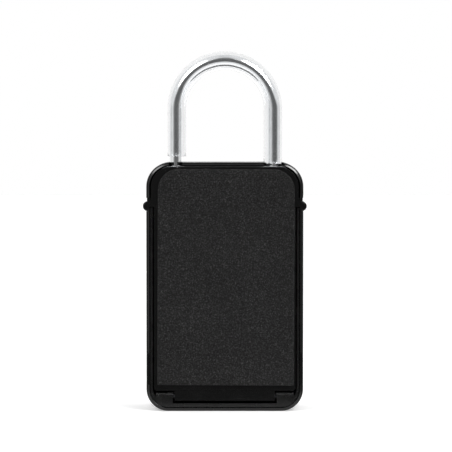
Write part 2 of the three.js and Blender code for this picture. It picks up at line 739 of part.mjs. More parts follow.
function addShackle() {
  piece('shackle', geometryOf(shackleRod()), chrome());
  piece('shackle_sleeve', vinylSleeve(), clearVinyl());
  piece('lock_bar', geometryOf(lockBar()), steel());
  const spring = piece('lock_bar_spring', coilSpring(1.4, 12.4, 7), steel());
  spring.rotation.y = Math.PI / 2;
  spring.position.set(-springHalf + 0.9, springY, barZ + barThickness / 2);
}

function addDials() {
  const dialShape = dial();
  const ringShape = geometryOf(codeRing());
  for (let index = 0; index < dialCount; index += 1) {
    const x = firstDialX + index * dialPitch;
    piece(`dial_${index + 1}`, dialShape, dialBlack(), [x, dialY, dialZ]);
    piece(`code_ring_${index + 1}`, ringShape, brass(), [x + ringOffset, dialY, dialZ]);
  }
  piece('dial_spindle', geometryOf(dialSpindle()), steel(), [0, dialY, dialZ]);
  piece('reset_lever', geometryOf(resetLever()), steel());
}

function addRelease() {
  piece('release_button', geometryOf(releaseButton()), satinBlack());
  piece('latch_plate', geometryOf(latchPlate()), steel());
  piece('fence_bar', geometryOf(fenceBar()), steel());
  piece('button_screw', screw(screwRadius, 9, 2.4, 0.8), steel(), [0, plateBack - 1, buttonZ]);
  const length = plateBottom - springSeatZ - 1;
  piece('latch_spring', coilSpring(2.2, length, 7), steel(), [0, plateFront + 3.4, springSeatZ + 0.5]);
}

addCase();
addDoor();
addShackle();
addDials();
addRelease();

export default padlock;
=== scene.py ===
# Looks for the portable key box: a padded back door, a lift-off shackle in a clear
# sleeve, and four number dials with a release slider on the far face.
# Lengths in this script are millimetres; mesh_object() turns them into metres.
# X is the width, Z is up, and the padded back looks towards -Y.

import json
import math

import bmesh
import bpy
from mathutils import Matrix, Vector, noise


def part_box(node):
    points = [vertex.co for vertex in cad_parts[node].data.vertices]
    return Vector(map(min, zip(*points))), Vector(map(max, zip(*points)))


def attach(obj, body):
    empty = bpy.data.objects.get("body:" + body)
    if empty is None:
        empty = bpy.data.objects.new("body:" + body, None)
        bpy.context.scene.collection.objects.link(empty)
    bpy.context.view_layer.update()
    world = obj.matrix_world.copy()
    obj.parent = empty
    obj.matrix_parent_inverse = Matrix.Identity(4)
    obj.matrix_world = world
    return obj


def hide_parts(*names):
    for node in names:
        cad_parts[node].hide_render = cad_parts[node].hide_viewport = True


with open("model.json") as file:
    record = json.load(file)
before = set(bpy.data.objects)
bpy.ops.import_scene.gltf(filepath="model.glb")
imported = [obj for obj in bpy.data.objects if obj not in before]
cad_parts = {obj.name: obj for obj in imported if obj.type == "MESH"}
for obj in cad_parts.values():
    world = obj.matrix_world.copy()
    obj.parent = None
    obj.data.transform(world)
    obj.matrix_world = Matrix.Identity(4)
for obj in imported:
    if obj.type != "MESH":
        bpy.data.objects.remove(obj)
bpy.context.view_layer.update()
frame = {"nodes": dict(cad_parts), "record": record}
scene = bpy.context.scene
MM = 0.001


def span(node):
    """A CAD node's box in millimetres: (x low, x high), (y low, y high), (z low, z high)."""
    low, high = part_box(node)
    return [(a / MM, b / MM) for a, b in zip(low, high)]


def middle(pair):
    return (pair[0] + pair[1]) / 2


# ------------------------------------------------------------------ sizes

WALL = 1.7
FRONT_WALL = 2.4
TOP_RADIUS = 12.2
BOTTOM_RADIUS = 11.1
FRONT_ROUND = 3.0
SEAM = 0.3
# An opening leaves CUT_GAP on each side; a cutter reaches PAST beyond the face it cuts.
CUT_GAP = 0.4
PAST = 1.0
BOSS_RADIUS = 3.6
SCREW_HOLE = 1.7
TRAY_WALL = 1.2
TRAY_FLOOR_FRONT = -1.3

DOOR_GAP = 0.7
DOOR_THICKNESS = 2.4
DOOR_CORNER = 1.5
SHOULDER_DROP = 22.2
SILL = 2.85
NUB_RADIUS = 2.5
NUB_LENGTH = 5.0
NUB_INSET = 0.85
NUB_RISE = 0.3
TONGUE_HALF = 25.0
HINGE_BARREL = 2.5
HINGE_GAP = 0.25
PIN_RADIUS = 1.4
PAD_BORDER = 1.2
PAD_TOP_GAP = 1.0
RIVET_HOLE = 1.6
PAD_TILT = 0.25
PAD_CORNER = 10.5

ROD_RADIUS = 3.0
NECK_RADIUS = 2.1
HEAD_HEIGHT = 2.3
SPRING_POST_DROP = 2.2
SLEEVE_RADIUS = 4.6
SLEEVE_BORE = 3.65
SLEEVE_LEAN = 0.6
SLEEVE_LIFT = 2.9
WIRE_RADIUS = 0.3
COIL_TURNS = 8
LOCK_COIL_RADIUS = 1.35
LATCH_COIL_RADIUS = 2.15

DIAL_RADIUS = 10.0
DIGITS = 10
DIGIT_SIZE = 4.6
RIDGE_SHARE = 0.34
STEM_HALF = 4.0
STEM_HEIGHT = 7.0
RELEASE_TRAVEL = 4.5

# Screws and rivets: shank radius, head radius, head height.
BLOCK_SCREW = (1.4, 3.0, 1.8)
FRAME_SCREW = (1.4, 2.8, 1.4)
GUIDE_SCREW = (1.0, 1.9, 0.9)
BUTTON_SCREW = (1.4, 2.4, 0.8)
STRIKE_RIVET = (1.3, 2.4, 0.8)

# ------------------------------------------------------------------ places

shell_x, shell_y, shell_z = span("outer_shell")
HALF = shell_x[1]
RIM = shell_y[0]
FRONT = shell_y[1]
TOP = shell_z[1]
CHAMBER = FRONT - FRONT_WALL
door_y, door_z = span("back_door")[1:]
DOOR_BACK = door_y[0]
DOOR_INNER = DOOR_BACK + DOOR_THICKNESS
DOOR_TOP = door_z[1]
tray_x = span("inner_frame")[0]
DOOR_HALF = tray_x[1] - TRAY_WALL - DOOR_GAP
SHOULDER_HALF = HALF - WALL - DOOR_GAP
SHOULDER_Z = TOP - SHOULDER_DROP
pin_box = span("hinge_pin")
HINGE_Y = middle(pin_box[1])
HINGE_Z = middle(pin_box[2])
DOOR_BOTTOM = HINGE_Z + HINGE_BARREL + HINGE_GAP
pad_x, pad_y = span("foam_pad")[:2]
rod_x, rod_y, rod_z = span("shackle")
LEG_X = rod_x[1] - ROD_RADIUS
ROD_Y = middle(rod_y)
LEG_BOTTOM = rod_z[0]
ARCH_Z = rod_z[1] - LEG_X - ROD_RADIUS
sleeve_z = span("shackle_sleeve")[2]
BLOCK_BOTTOM = span("shackle_block")[2][0] + SPRING_POST_DROP
dials = [span(f"dial_{index}") for index in (1, 2, 3, 4)]
DIAL_X = [middle(box[0]) for box in dials]
DIAL_Y = middle(dials[0][1])
DIAL_Z = middle(dials[0][2])
DIAL_WIDTH = dials[0][0][1] - dials[0][0][0]
button_box = span("release_button")
BUTTON_Z = middle(button_box[2])
CAGE_HALF = span("dial_cage")[0][1]


# ------------------------------------------------------------------ mesh tools

def mesh_object(name, vertices, faces):
    mesh = bpy.data.meshes.new(name)
    mesh.from_pydata([tuple(c * MM for c in v) for v in vertices], [], faces)
    obj = bpy.data.objects.new(name, mesh)
    scene.collection.objects.link(obj)
    outward(obj)
    return obj


def outward(obj):
    shape = bmesh.new()
    shape.from_mesh(obj.data)
    bmesh.ops.recalc_face_normals(shape, faces=shape.faces)
    shape.to_mesh(obj.data)
    shape.free()


def arc(x, z, radius, start, stop, steps):
    turn = [math.radians(start + (stop - start) * k / steps) for k in range(steps + 1)]
    return [(x + radius * math.cos(a), z + radius * math.sin(a)) for a in turn]


def outline(half, bottom, top, upper, lower, steps=16):
    """A rectangle in X and Z whose upper and lower corners have their own radius."""
    return (arc(half - lower, bottom + lower, lower, -90, 0, steps)
            + arc(half - upper, top - upper, upper, 0, 90, steps)
            + arc(-half + upper, top - upper, upper, 90, 180, steps)
            + arc(-half + lower, bottom + lower, lower, 180, 270, steps))


def loft(name, rings, closed=False):
    """Skins a stack of rings of the same length; open ends get a flat cap."""
    count = len(rings[0])
    vertices = [point for ring in rings for point in ring]
    links = len(rings) if closed else len(rings) - 1
    faces = []
    for r in range(links):
        first, second = r * count, (r + 1) % len(rings) * count
        for k in range(count):
            after = (k + 1) % count
            faces.append((first + k, first + after, second + after, second + k))
    if not closed:
        faces.append(tuple(reversed(range(count))))
        faces.append(tuple((len(rings) - 1) * count + k for k in range(count)))
    return mesh_object(name, vertices, faces)


def flat_ring(points, y):
    return [(x, y, z) for x, z in points]


def prism(name, points, y0, y1):
    return loft(name, [flat_ring(points, y0), flat_ring(points, y1)])


def box(name, x, y, z):
    points = [(x[0], z[0]), (x[1], z[0]), (x[1], z[1]), (x[0], z[1])]
    return prism(name, points, y[0], y[1])


def spun(name, profile, place, axis, sides=48):
    """Turns (radius, height) points about an axis through place."""
    axis = Vector(axis).normalized()
    side = Vector((0, 0, 1)) if abs(axis.z) < 0.5 else Vector((1, 0, 0))
    side = (side - axis * side.dot(axis)).normalized()
    other = axis.cross(side)
    rings = []
    for radius, height in profile:
        centre = Vector(place) + axis * height
        angles = [2 * math.pi * k / sides for k in range(sides)]
        rings.append([tuple(centre + (side * math.cos(a) + other * math.sin(a)) * radius) for a in angles])
    return loft(name, rings)


def rod(name, radius, start, end, sides=48):
    start, end = Vector(start), Vector(end)
    length = (end - start).length
    return spun(name, [(radius, 0), (radius, length)], start, end - start, sides)


def tube(name, path, radii, sides=40):
    """Sweeps a round section along path, a list of points, with a radius at each."""
    path = [Vector(p) for p in path]
    count = len(path)
    tangents = [(path[min(k + 1, count - 1)] - path[max(k - 1, 0)]).normalized() for k in range(count)]
    helper = Vector((0, 1, 0)) if abs(tangents[0].y) < 0.9 else Vector((1, 0, 0))
    side = (helper - tangents[0] * helper.dot(tangents[0])).normalized()
    rings = []
    for point, tangent, radius in zip(path, tangents, radii):
        side = (side - tangent * side.dot(tangent)).normalized()
        other = tangent.cross(side)
        angles = [2 * math.pi * k / sides for k in range(sides)]
        rings.append([tuple(point + (side * math.cos(a) + other * math.sin(a)) * radius) for a in angles])
    return loft(name, rings)


def apply_modifiers(obj):
    bpy.context.view_layer.update()
    graph = bpy.context.evaluated_depsgraph_get()
    mesh = bpy.data.meshes.new_from_object(obj.evaluated_get(graph))
    obj.modifiers.clear()
    obj.data = mesh
    return obj


def combine(obj, operation, tools):
    for tool in tools:
        step = obj.modifiers.new("combine", "BOOLEAN")
        step.operation = operation
        step.solver = "EXACT"
        step.object = tool
        apply_modifiers(obj)
        bpy.data.objects.remove(tool)
    return obj


def join(obj, *tools):
    return combine(obj, "UNION", tools)


def cut(obj, *tools):
    return combine(obj, "DIFFERENCE", tools)


def clean(obj, merge=0.002):
    """Merges stray points and takes out the edges that cross flat faces."""
    shape = bmesh.new()
    shape.from_mesh(obj.data)
    bmesh.ops.remove_doubles(shape, verts=shape.verts, dist=merge * MM)
    bmesh.ops.dissolve_degenerate(shape, edges=shape.edges, dist=merge * MM)
    bmesh.ops.dissolve_limit(shape, angle_limit=math.radians(0.3), verts=shape.verts, edges=shape.edges)
    shape.to_mesh(obj.data)
    shape.free()
    return obj


def soften(obj, width, segments=2, angle=38):
    """Rounds the sharp edges and leaves the curved walls smooth."""
    clean(obj)
    bevel = obj.modifiers.new("edges", "BEVEL")
    bevel.width = width * MM
    bevel.segments = segments
    bevel.limit_method = "ANGLE"
    bevel.angle_limit = math.radians(angle)
    bevel.use_clamp_overlap = True
    bevel.harden_normals = False
    apply_modifiers(obj)
    smooth(obj, 50)
    weight = obj.modifiers.new("normals", "WEIGHTED_NORMAL")
    weight.keep_sharp = True
    return obj


def smooth(obj, angle=40):
    obj.data.polygons.foreach_set("use_smooth", [True] * len(obj.data.polygons))
    obj.data.set_sharp_from_angle(angle=math.radians(angle))
    return obj


# ------------------------------------------------------------------ node tools

class Tree:
    """A short way to lay out nodes. A value is a number, a colour or another node's output."""

    def __init__(self, tree):
        self.tree = tree

    def add(self, kind):
        return self.tree.nodes.new(kind)

    def link(self, source, target):
        self.tree.links.new(source, target)

    def feed(self, value, socket):
        if isinstance(value, (int, float, tuple)):
            socket.default_value = value
        else:
            self.link(value, socket)

    def ramp(self, source, stops):
        ramp = self.add("ShaderNodeValToRGB")
        elements = ramp.color_ramp.elements
        while len(elements) < len(stops):
            elements.new(0.5)
        for element, (position, value) in zip(elements, stops):
            element.position = position
            element.color = (*value, 1) if isinstance(value, tuple) else (value, value, value, 1)
        self.link(source, ramp.inputs["Fac"])
        return ramp.outputs["Color"]

    def span(self, source, low, high, start=0.3, stop=0.7):
        """Maps start..stop to low..high."""
        limits = self.add("ShaderNodeMapRange")
        limits.inputs["From Min"].default_value = start
        limits.inputs["From Max"].default_value = stop
        limits.inputs["To Min"].default_value = low
        limits.inputs["To Max"].default_value = high
        self.link(source, limits.inputs["Value"])
        return limits.outputs["Result"]

    def mixed(self, mode, factor, first, second):
        mix = self.add("ShaderNodeMix")
        mix.data_type = "RGBA"
        mix.blend_type = mode
        self.feed(factor, mix.inputs["Factor"])
        self.feed(first, mix.inputs["A"])
        self.feed(second, mix.inputs["B"])
        return mix.outputs["Result"]

    def math(self, operation, *values):
        node = self.add("ShaderNodeMath")
        node.operation = operation
        for value, socket in zip(values, node.inputs):
            self.feed(value, socket)
        return node.outputs["Value"]

    def facing(self, direction, aim):
        """1 where direction points along aim, 0 across it and -1 away from it."""
        dot = self.add("ShaderNodeVectorMath")
        dot.operation = "DOT_PRODUCT"
        dot.inputs[1].default_value = Vector(aim).normalized()
        self.link(direction, dot.inputs[0])
        return dot.outputs["Value"]


class Nodes(Tree):
    """The nodes of one material, with textures in the object's own millimetres."""

    def __init__(self, name):
        self.material = bpy.data.materials.new(name)
        self.material.use_nodes = True
        super().__init__(self.material.node_tree)
        self.shader = self.tree.nodes["Principled BSDF"]
        self.coordinates = self.add("ShaderNodeTexCoord")

    def noise(self, size, detail=4.0, roughness=0.55, stretch=None):
        """Noise whose features are about size millimetres across."""
        texture = self.add("ShaderNodeTexNoise")
        texture.inputs["Scale"].default_value = 1 / (size * MM)
        texture.inputs["Detail"].default_value = detail
        texture.inputs["Roughness"].default_value = roughness
        source = self.coordinates.outputs["Object"]
        if stretch:
            mapping = self.add("ShaderNodeMapping")
            mapping.inputs["Scale"].default_value = stretch
            self.link(source, mapping.inputs["Vector"])
            source = mapping.outputs["Vector"]
        self.link(source, texture.inputs["Vector"])
        return texture.outputs["Fac"]

    def cells(self, size):
        """Distance to the middle of the nearest cell, of about size millimetres."""
        texture = self.add("ShaderNodeTexVoronoi")
        texture.inputs["Scale"].default_value = 1 / (size * MM)
        self.link(self.coordinates.outputs["Object"], texture.inputs["Vector"])
        return texture.outputs["Distance"]

    def bump(self, height, distance, strength=1.0, below=None):
        bump = self.add("ShaderNodeBump")
        bump.inputs["Distance"].default_value = distance * MM
        bump.inputs["Strength"].default_value = strength
        self.link(height, bump.inputs["Height"])
        if below:
            self.link(below, bump.inputs["Normal"])
        self.link(bump.outputs["Normal"], self.shader.inputs["Normal"])
        return bump.outputs["Normal"]

    def set(self, **values):
        for name, value in values.items():
            self.shader.inputs[name.replace("_", " ")].default_value = value


def moulded_plastic(name, colour, roughness, grain, depth):
    """Moulded black plastic with a fine spark texture and faint flow marks."""
    nodes = Nodes(name)
    fine = nodes.noise(grain, 3.0, 0.6)
    broad = nodes.noise(9.0, 3.0, 0.5)
    dark, light = 0.8 * colour, 1.25 * colour
    nodes.link(nodes.ramp(broad, [(0.3, dark), (0.7, light)]), nodes.shader.inputs["Base Color"])
    nodes.link(nodes.span(broad, roughness - 0.03, roughness + 0.04), nodes.shader.inputs["Roughness"])
    wavy = nodes.bump(nodes.noise(14.0, 1.0), 0.05, 0.5)
    nodes.bump(fine, depth, 0.6, wavy)
    nodes.set(Specular_IOR_Level=0.4, IOR=1.5)
    return nodes.material


def foam():
    """Fine closed-cell foam: matt near-black skin with lighter cells and dust."""
    nodes = Nodes("foam")
    cells = nodes.cells(0.42)
    grain = nodes.noise(0.72, 4.0, 0.7)
    broad = nodes.noise(24.0, 3.0, 0.5)
    shade = nodes.ramp(grain, [(0.32, 0.0035), (0.46, 0.0095), (0.59, 0.022), (0.72, 0.066)])
    cloud = nodes.ramp(broad, [(0.3, 0.88), (0.72, 1.12)])
    tinted = nodes.mixed("MULTIPLY", 1.0, shade, cloud)
    nodes.link(tinted, nodes.shader.inputs["Base Color"])
    nodes.link(nodes.span(grain, 0.82, 0.98), nodes.shader.inputs["Roughness"])
    pits = nodes.bump(cells, 0.10, 0.7)
    nodes.bump(grain, 0.12, 0.7, pits)
    nodes.set(Specular_IOR_Level=0.12, Sheen_Weight=0.02, Sheen_Roughness=0.5)
    return nodes.material


def bright_metal(name, colour, roughness, scratch, grain=None):
    """Polished or plated metal with faint haze and drawn scratches."""
    nodes = Nodes(name)
    haze = nodes.noise(7.0, 4.0, 0.6)
    lines = nodes.noise(0.5, 3.0, 0.6, stretch=grain)
    low = tuple(0.94 * c for c in colour)
    nodes.link(nodes.ramp(haze, [(0.35, low), (0.65, colour)]), nodes.shader.inputs["Base Color"])
    nodes.link(nodes.span(haze, roughness * 0.75, roughness * 1.35), nodes.shader.inputs["Roughness"])
    nodes.bump(lines, scratch, 0.35)
    nodes.set(Metallic=1.0)
    return nodes.material


def cast_metal(name, colour, roughness, depth):
    """Die-cast or stamped metal: matt, softly pitted, uneven in tone."""
    nodes = Nodes(name)
    pits = nodes.noise(0.7, 6.0, 0.65)
    cloud = nodes.noise(6.0, 4.0, 0.6)
    low = tuple(0.72 * c for c in colour)
    nodes.link(nodes.ramp(cloud, [(0.3, low), (0.7, colour)]), nodes.shader.inputs["Base Color"])
    nodes.link(nodes.span(cloud, roughness - 0.08, roughness + 0.1), nodes.shader.inputs["Roughness"])
    nodes.bump(pits, depth, 0.6)
    nodes.set(Metallic=1.0)
    return nodes.material


def clear_vinyl():
    """Soft clear tube with a slightly wavy skin."""
    nodes = Nodes("clear_vinyl")
    waves = nodes.noise(9.0, 2.0, 0.5)
    nodes.link(nodes.ramp(waves, [(0.3, (0.925, 0.93, 0.935)), (0.7, (0.955, 0.96, 0.965))]),
               nodes.shader.inputs["Base Color"])
    nodes.link(nodes.span(waves, 0.015, 0.05), nodes.shader.inputs["Roughness"])
    nodes.bump(waves, 0.05, 0.4)
    nodes.set(Transmission_Weight=1.0, IOR=1.5)
    return nodes.material


def digit_paint():
    """White printed digits, slightly worn."""
    nodes = Nodes("digit_paint")
    worn = nodes.noise(0.35, 5.0, 0.7)
    nodes.link(nodes.ramp(worn, [(0.3, 0.62), (0.6, 0.8)]), nodes.shader.inputs["Base Color"])
    nodes.link(nodes.span(worn, 0.45, 0.7), nodes.shader.inputs["Roughness"])
    nodes.bump(worn, 0.02, 0.5)
    return nodes.material


MATERIALS = {
    "shell_plastic": moulded_plastic("shell_plastic", 0.0022, 0.17, 0.22, 0.003),
    "frame_plastic": moulded_plastic("frame_plastic", 0.0035, 0.28, 0.3, 0.008),
    "foam": foam(),
    "shackle_chrome": bright_metal("shackle_chrome", (0.86, 0.87, 0.88), 0.055, 0.0015),
    "clear_vinyl": clear_vinyl(),
    "die_cast_zinc": cast_metal("die_cast_zinc", (0.46, 0.47, 0.49), 0.42, 0.05),
    "zinc_plated_steel": bright_metal("zinc_plated_steel", (0.62, 0.63, 0.65), 0.3, 0.02, (1, 1, 12)),
    "spring_steel": bright_metal("spring_steel", (0.5, 0.5, 0.52), 0.26, 0.01, (12, 1, 1)),
    "ring_brass": bright_metal("ring_brass", (0.66, 0.52, 0.24), 0.3, 0.012, (12, 1, 1)),
    "dial_plastic": moulded_plastic("dial_plastic", 0.003, 0.26, 0.25, 0.006),
    "black_steel": bright_metal("black_steel", (0.035, 0.035, 0.038), 0.4, 0.01, (12, 1, 1)),
    "digit_paint": digit_paint(),
}


def settle(obj, body, slot, *nodes):
    """Gives a piece its material, its slot and its body, and hides the CAD nodes it stands for."""
    obj.data.materials.clear()
    obj.data.materials.append(MATERIALS[slot])
    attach(obj, body)
    if nodes:
        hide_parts(*nodes)
    return obj


# ------------------------------------------------------------------ case

# The rim from outside to inside, as (inset, depth): a small round, a narrow flat,
# an outward-facing chamfer, a crest, and a small inner round.
RIM_PROFILE = [(0.0, 1.2), (0.03, 0.85), (0.1, 0.62), (0.2, 0.5), (0.32, 0.43), (0.66, 0.38), (0.74, 0.36),
               (0.80, 0.33), (1.32, 0.065), (1.38, 0.03), (1.44, 0.01), (1.5, 0.0), (1.58, 0.03),
               (1.65, 0.12), (WALL, 0.3)]
FRONT_STEPS = 8
NUB_NOTCH = (2.4, 4.5)
SCOOP = (2.4, 4.3)
SCOOP_DEPTH = 0.7
SCOOP_LENGTH = 11.0
RELIEF = (0.13, 0.283)
RELIEF_INSET = 0.75
RELIEF_DEPTH = 0.8
SLIT_X = (-10.4, 10.2)
SLIT_DEPTH = 1.6
PANEL_MARGIN = 3.0
PANEL_HALF_HEIGHT = 13.0
PANEL_DEPTH = 0.8
TRACK_MARGIN = 1.6
TRACK_DEPTH = 0.35
SEAT_HALF = 5.0
SEAT_THICKNESS = 1.5


def shell_body():
    """A cup with a rounded front edge, a chamfered rim, and an open back."""
    rings = []
    for k in range(FRONT_STEPS + 1):
        turn = math.radians(90 * k / FRONT_STEPS)
        inset = FRONT_ROUND * (1 - math.sin(turn))
        y = FRONT - FRONT_ROUND * (1 - math.cos(turn))
        rings.append((inset, y))
    rings += [(inset, RIM + back) for inset, back in RIM_PROFILE]
    rings.append((WALL, CHAMBER))
    stack = []
    for inset, y in rings:
        shape = outline(HALF - inset, inset, TOP - inset, TOP_RADIUS - inset, BOTTOM_RADIUS - inset)
        stack.append(flat_ring(shape, y))
    return loft("outer_shell_moulding", stack)


def leg_notch(side):
    """A notch in the top wall for one leg; the sleeve reaches into the right one."""
    x = side * LEG_X
    half = (SLEEVE_RADIUS if side > 0 else ROD_RADIUS) + CUT_GAP
    z = (TOP - WALL - PAST, TOP + PAST)
    round_end = rod("notch_end", half, (x, ROD_Y, z[0]), (x, ROD_Y, z[1]))
    return [box("notch", (x - half, x + half), (RIM - PAST, ROD_Y), z), round_end]


def nub_notch(side):
    """The gap in the side wall that the grip nub stands in."""
    x = sorted((side * (HALF - WALL - 0.5), side * (HALF + PAST)))
    y = (RIM - PAST, DOOR_BACK + NUB_LENGTH + 0.6)
    return box("nub_notch", x, y, (SHOULDER_Z - NUB_NOTCH[0], SHOULDER_Z + NUB_NOTCH[1]))


def finger_scoop(side):
    """A shallow hollow in the side wall that lets a fingertip reach the grip nub."""
    x = sorted((side * (HALF - SCOOP_DEPTH), side * (HALF + PAST)))
    return box("scoop", x, (RIM - PAST, RIM + SCOOP_LENGTH), (SHOULDER_Z + SCOOP[0], SHOULDER_Z + SCOOP[1]))


def rim_details():
    """Shallow steps in the rim: a long relief low on each side and a slit in the sill."""
    low, high = [SHOULDER_Z * share for share in RELIEF]
    reliefs = []
    for side in (1, -1):
        x = sorted((side * (HALF - WALL - 0.2), side * (HALF - RELIEF_INSET)))
        reliefs.append(box("relief", x, (RIM - PAST, RIM + RELIEF_DEPTH), (low, high)))
    slit = box("slit", SLIT_X, (RIM - PAST, RIM + SLIT_DEPTH), (WALL - 0.15, WALL + 0.6))
    return [*reliefs, slit]


def dial_window(x):
    half_height = math.sqrt(DIAL_RADIUS ** 2 - (DIAL_Y - CHAMBER) ** 2) + 0.6
    half = DIAL_WIDTH / 2 + CUT_GAP
    points = outline(half, DIAL_Z - half_height, DIAL_Z + half_height, 0.5, 0.5, 3)
    return prism("window", [(x + px, pz) for px, pz in points], CHAMBER - PAST, FRONT + PAST)


def dial_panel():
    """The sunken field round the dial windows."""
    low, high = DIAL_Z - PANEL_HALF_HEIGHT, DIAL_Z + PANEL_HALF_HEIGHT
    shape = outline(CAGE_HALF + PANEL_MARGIN, low, high, 4, 4, 8)
    return prism("panel", shape, FRONT - PANEL_DEPTH, FRONT + PAST)


def slider_track():
    """The sunken field that the release slider moves in."""
    low = button_box[2][0] - RELEASE_TRAVEL - TRACK_MARGIN
    high = button_box[2][1] + TRACK_MARGIN
    shape = outline(button_box[0][1] + 1.2, low, high, 3.6, 3.6, 8)
    return prism("track", shape, FRONT - TRACK_DEPTH, FRONT + PAST)


def stem_slot():
    """The slot through the front wall for the slider's stem."""
    half = STEM_HALF + CUT_GAP
    z = (BUTTON_Z - STEM_HEIGHT / 2 - RELEASE_TRAVEL - CUT_GAP, BUTTON_Z + STEM_HEIGHT / 2 + CUT_GAP)
    return box("slot", (-half, half), (CHAMBER - PAST, FRONT + PAST), z)


def spring_seat():
    """The ledge inside the front wall that the latch spring stands on."""
    top = span("latch_spring")[2][0] - 0.24
    back = span("latch_plate")[1][1] - 5
    return box("seat", (-SEAT_HALF, SEAT_HALF), (back, CHAMBER + 0.5), (top - SEAT_THICKNESS, top))


def screw_places():
    """Where the screw bosses stand, as (x, z, y of the floor that each one meets)."""
    block, short = span("block_screw_1"), span("frame_screw_1")
    upper = span("shackle_block")[1][1] + SEAM + TRAY_WALL
    places = []
    for side in (1, -1):
        places.append((side * middle(block[0]), middle(block[2]), upper))
        places.append((side * middle(short[0]), middle(short[2]), TRAY_FLOOR_FRONT))
    return places


def screw_boss(x, z, floor):
    return rod("boss", BOSS_RADIUS, (x, floor + SEAM, z), (x, CHAMBER + 0.5, z))


def boss_hole(x, z, floor):
    return rod("boss_hole", SCREW_HOLE, (x, floor, z), (x, CHAMBER - PAST, z), 24)


def outer_shell():
    shell = shell_body()
    places = screw_places()
    join(shell, spring_seat(), *[screw_boss(*place) for place in places])
    cut(shell, *leg_notch(1), *leg_notch(-1), nub_notch(1), nub_notch(-1), dial_panel(),
        finger_scoop(1), finger_scoop(-1), *rim_details(), slider_track(),
        *[dial_window(x) for x in DIAL_X], stem_slot(), *[boss_hole(*place) for place in places])
    soften(shell, 0.22)
    return settle(shell, "case", "shell_plastic", "outer_shell")


# ------------------------------------------------------------------ carried-over shapes

NODE_BODY = {node: body for body, nodes in frame["record"]["behaviour"]["bodies"].items() for node in nodes}


def refined(node, slot, width=0.12, segments=2, angle=38):
    """A node's shape with its triangles merged into clean faces and its edges rounded."""
    obj = bpy.data.objects.new(f"{node}_part", frame["nodes"][node].data.copy())
    scene.collection.objects.link(obj)
    custom = obj.data.attributes.get("custom_normal")
    if custom:
        obj.data.attributes.remove(custom)
    soften(obj, width, segments, angle)
    return settle(obj, NODE_BODY[node], slot, node)


# ------------------------------------------------------------------ door and pad

def door_outline():
    radius = TOP_RADIUS - WALL - DOOR_GAP
    low = DOOR_CORNER
    return (arc(DOOR_HALF - low, DOOR_BOTTOM + low, low, -90, 0, 8)
            + [(DOOR_HALF, SHOULDER_Z), (SHOULDER_HALF, SHOULDER_Z)]
            + arc(SHOULDER_HALF - radius, DOOR_TOP - radius, radius, 0, 90, 20)
            + arc(-SHOULDER_HALF + radius, DOOR_TOP - radius, radius, 90, 180, 20)
            + [(-SHOULDER_HALF, SHOULDER_Z), (-DOOR_HALF, SHOULDER_Z)]
            + arc(-DOOR_HALF + low, DOOR_BOTTOM + low, low, 180, 270, 8))


def grip_nub(side):
    """A round grip beside the door's shoulder, cut away below it where the tray's rail stands."""
    x = side * (HALF - NUB_INSET)
    round_end = [(0.02, 0), (1.95, 0.0), (2.25, 0.06), (2.43, 0.2), (NUB_RADIUS, 0.42),
                 (NUB_RADIUS, NUB_LENGTH)]
    knob = spun("nub", round_end, (x, DOOR_BACK, SHOULDER_Z + NUB_RISE), (0, 1, 0))
    rail = tray_x[1] + SEAM
    cut(knob, box("behind_rail", (-rail, rail), (DOOR_BACK - 1, DOOR_BACK + NUB_LENGTH + 1),
                  (SHOULDER_Z - 2 * NUB_RADIUS, SHOULDER_Z)))
    neck = sorted((side * (SHOULDER_HALF - 1), side * (HALF - 1)))
    return [knob, box("neck", neck, (DOOR_BACK, DOOR_INNER), (SHOULDER_Z, SHOULDER_Z + 4))]


def back_door():
    door = prism("back_door_moulding", door_outline(), DOOR_BACK, DOOR_INNER)
    tongue_back = HINGE_Y + HINGE_BARREL - 0.2
    tongue = box("tongue", (-TONGUE_HALF, TONGUE_HALF), (DOOR_BACK, tongue_back),
                 (HINGE_Z - HINGE_BARREL + HINGE_GAP, DOOR_BOTTOM + 0.4))
    join(door, tongue, *grip_nub(1), *grip_nub(-1))
    strike = span("strike_rivet_right")
    pin_hole = rod("pin_hole", PIN_RADIUS + HINGE_GAP, (-TONGUE_HALF - 1, HINGE_Y, HINGE_Z),
                   (TONGUE_HALF + 1, HINGE_Y, HINGE_Z), 32)
    z = middle(strike[2])
    rivets = []
    for side in (1, -1):
        x = side * middle(strike[0])
        rivets.append(rod("rivet_hole", RIVET_HOLE, (x, DOOR_BACK - PAST, z), (x, DOOR_INNER + PAST, z), 24))
    crease = box("crease", (-TONGUE_HALF - 0.6, TONGUE_HALF + 0.6), (DOOR_BACK - 1, DOOR_BACK + 0.25),
                 (DOOR_BOTTOM + 0.1, DOOR_BOTTOM + 0.5))
    cut(door, pin_hole, crease, *rivets)
    soften(door, 0.5, 4)
    return settle(door, "door", "shell_plastic", "back_door")


def foam_blank(half, low, high):
    """The pad as an evenly meshed sheet with soft edges."""
    shape = outline(half, low, high, PAD_CORNER, 0.4, 12)
    pad = prism("foam_pad_skin", shape, pad_y[0] + 0.06, pad_y[1])
    remesh = pad.modifiers.new("cells", "REMESH")
    remesh.mode = "VOXEL"
    remesh.voxel_size = 0.42 * MM
    relax = pad.modifiers.new("relax", "SMOOTH")
    relax.factor = 0.5
    relax.iterations = 3
    apply_modifiers(pad)
    return pad


def foam_rise(point, edge):
    """How far the face stands out at a point that is edge millimetres inside the outline."""
    crown = 0.05 * min(1, max(0, edge) / 6)
    rough = 0.035 * noise.noise(point * 1.1) + 0.03 * noise.noise(point * 0.12)
    return crown + rough


